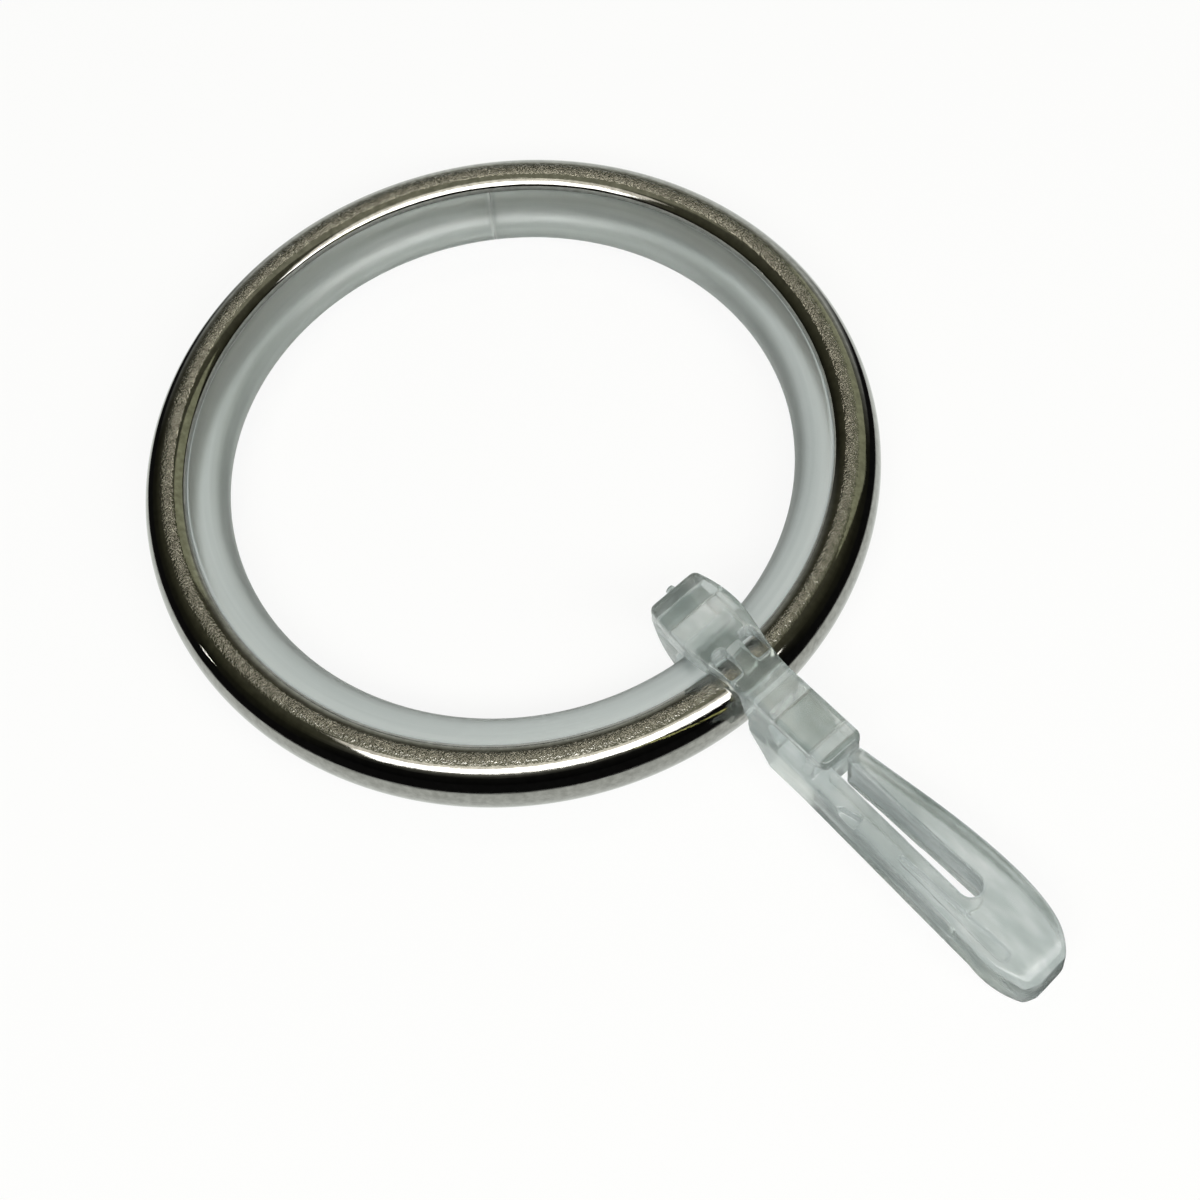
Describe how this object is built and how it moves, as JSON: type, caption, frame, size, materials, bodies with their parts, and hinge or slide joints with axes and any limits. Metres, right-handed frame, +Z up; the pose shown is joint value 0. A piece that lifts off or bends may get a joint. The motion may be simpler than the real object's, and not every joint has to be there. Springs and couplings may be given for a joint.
{
  "type": "curtain ring with hook",
  "caption": "Metal curtain ring with a quiet plastic liner and a clear clip-on hook whose flat hairpin end slips into the pocket of a curtain's heading tape.",
  "frame": {"origin": "on the ring's axis, in the plane that the ring and the hook lie on", "axes": "+Z up along the ring's axis, +X from the ring's centre out along the hook"},
  "size_m": [0.0778, 0.052, 0.0072],
  "materials": {
    "ring_metal": "bright nickel plate, slightly grained",
    "liner_plastic": "satin",
    "hook_plastic": "clear, gloss"
  },
  "bodies": {
    "ring": {"outer_ring": "ring_metal", "liner": "liner_plastic"},
    "clip_hook": {"hook": "hook_plastic"}
  },
  "joints": [
    {"name": "hook_slide_round", "type": "hinge", "parent": "ring", "child": "clip_hook", "pos_m": [0, 0, 0], "axis": [0, 0, 1], "continuous": true}
  ]
}
